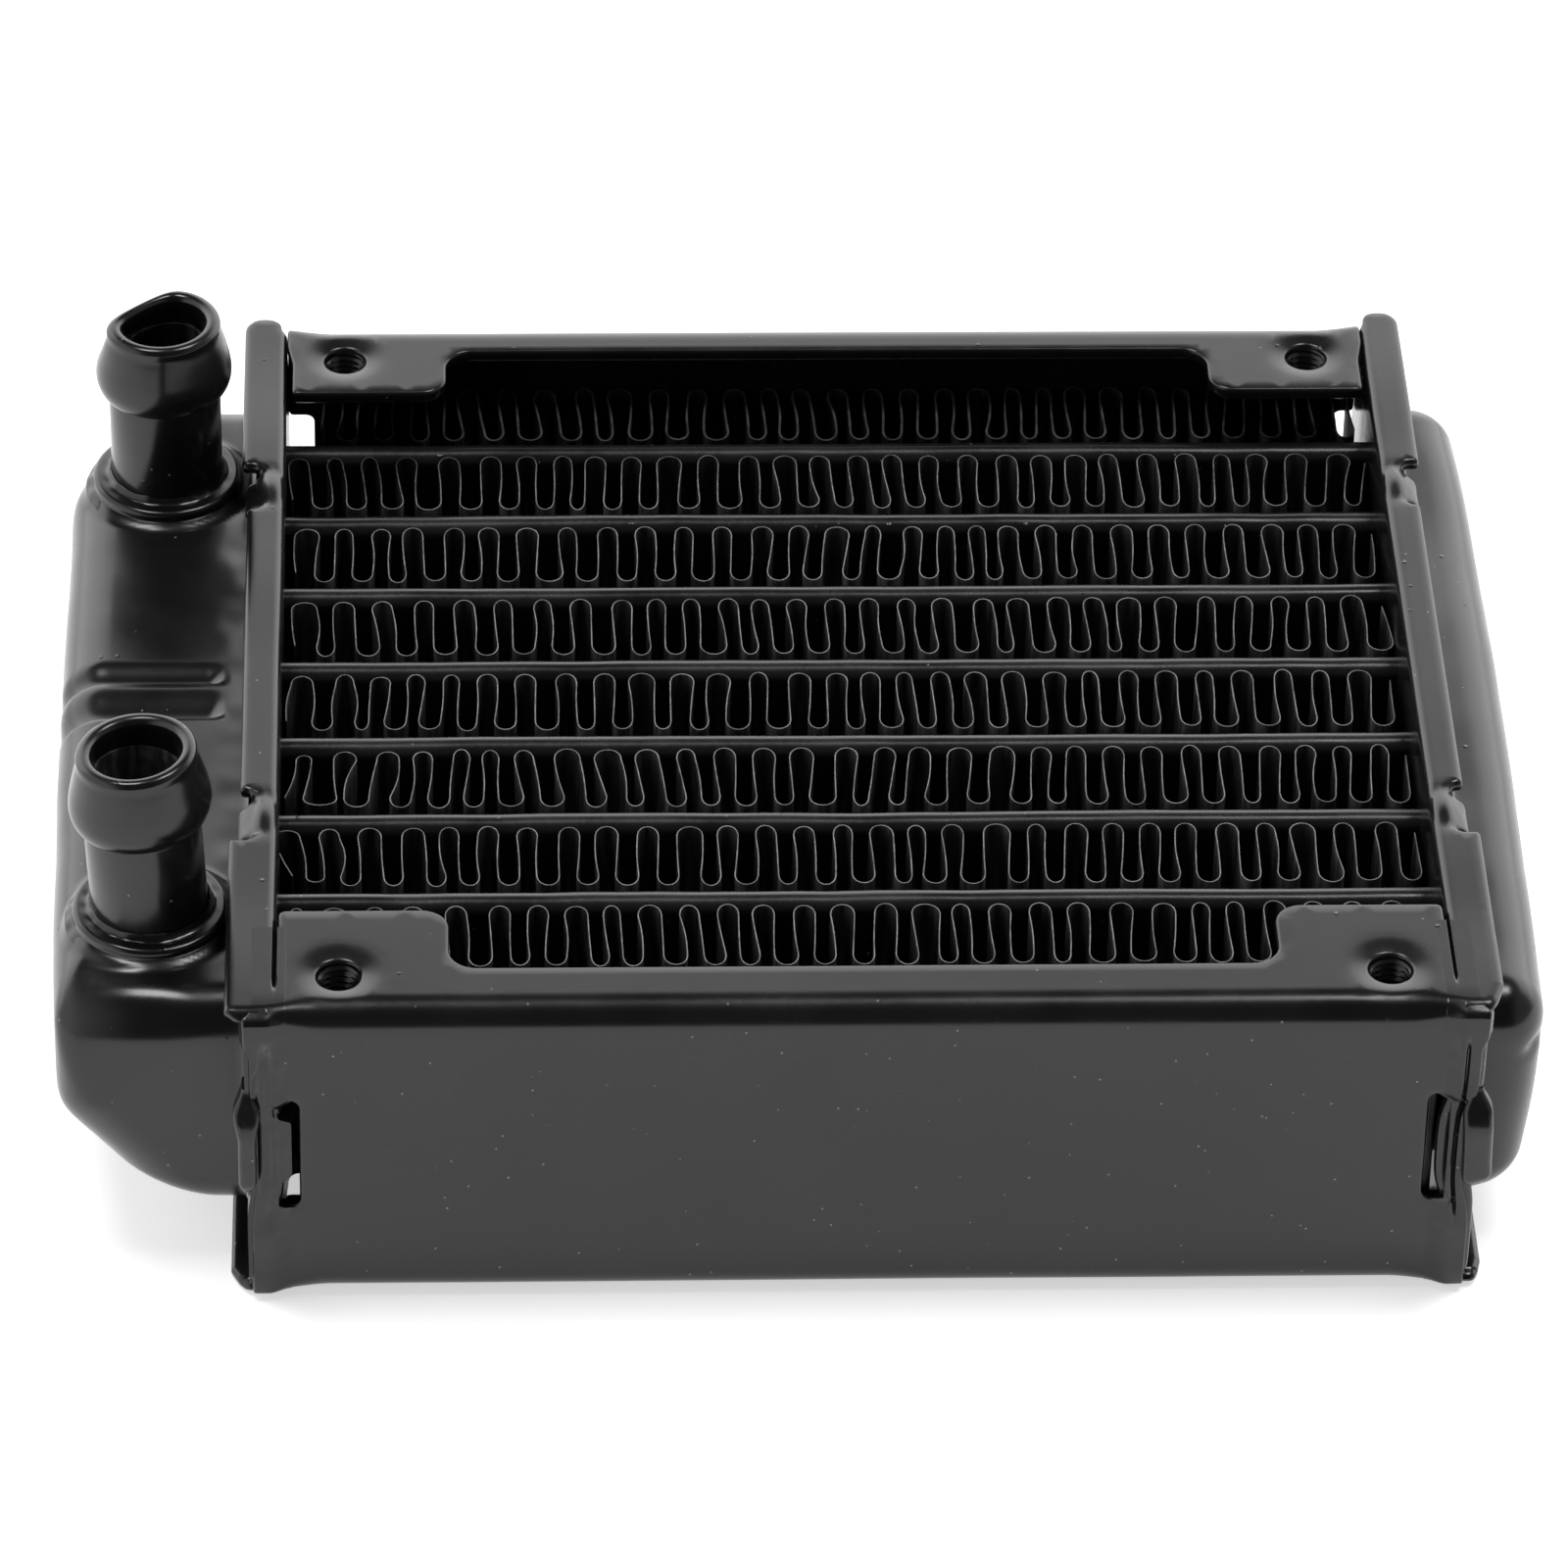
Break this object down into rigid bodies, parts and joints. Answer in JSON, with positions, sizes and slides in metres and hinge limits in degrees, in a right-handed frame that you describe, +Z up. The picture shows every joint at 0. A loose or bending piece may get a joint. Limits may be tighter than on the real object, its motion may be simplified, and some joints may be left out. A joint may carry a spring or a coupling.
{
  "type": "liquid cooling radiator",
  "caption": "Small square radiator with serpentine fins between flat tubes, a tank at each end, threaded fan ears and hose barbs.",
  "frame": {"origin": "middle of the overall box, at its bottom: on the surface that the radiator's frame lies on", "axes": "+Z up, out of the hose barbs; X along the flat tubes, from the tank with the barbs (-X) to the return tank (+X); +Y from the front side plate to the rear one"},
  "size_m": [0.1024, 0.0812, 0.0361],
  "materials": {
    "frame_paint": "satin black paint over pressed aluminium sheet",
    "tank_paint": "satin black paint over drawn aluminium, with small specks",
    "barb_paint": "semi-gloss black paint",
    "tube_paint": "thin satin black paint",
    "fin_paint": "thin black paint, greyer on the fins' edges",
    "bare_aluminium": "bare brazed aluminium, hidden inside"
  },
  "bodies": {
    "root": {"front_side_plate": "frame_paint", "rear_side_plate": "frame_paint", "left_header": "frame_paint", "right_header": "frame_paint", "left_tank": "tank_paint", "right_tank": "tank_paint", "tank_divider": "bare_aluminium", "inlet_barb": "barb_paint", "outlet_barb": "barb_paint", "inlet_collar": "barb_paint", "outlet_collar": "barb_paint", "flat_tube_1": "tube_paint", "flat_tube_2": "tube_paint", "flat_tube_3": "tube_paint", "flat_tube_4": "tube_paint", "flat_tube_5": "tube_paint", "flat_tube_6": "tube_paint", "flat_tube_7": "tube_paint", "flat_tube_8": "tube_paint", "fin_strip_1": "fin_paint", "fin_strip_2": "fin_paint", "fin_strip_3": "fin_paint", "fin_strip_4": "fin_paint", "fin_strip_5": "fin_paint", "fin_strip_6": "fin_paint", "fin_strip_7": "fin_paint", "fin_strip_8": "fin_paint", "fin_strip_9": "fin_paint"}
  },
  "joints": []
}
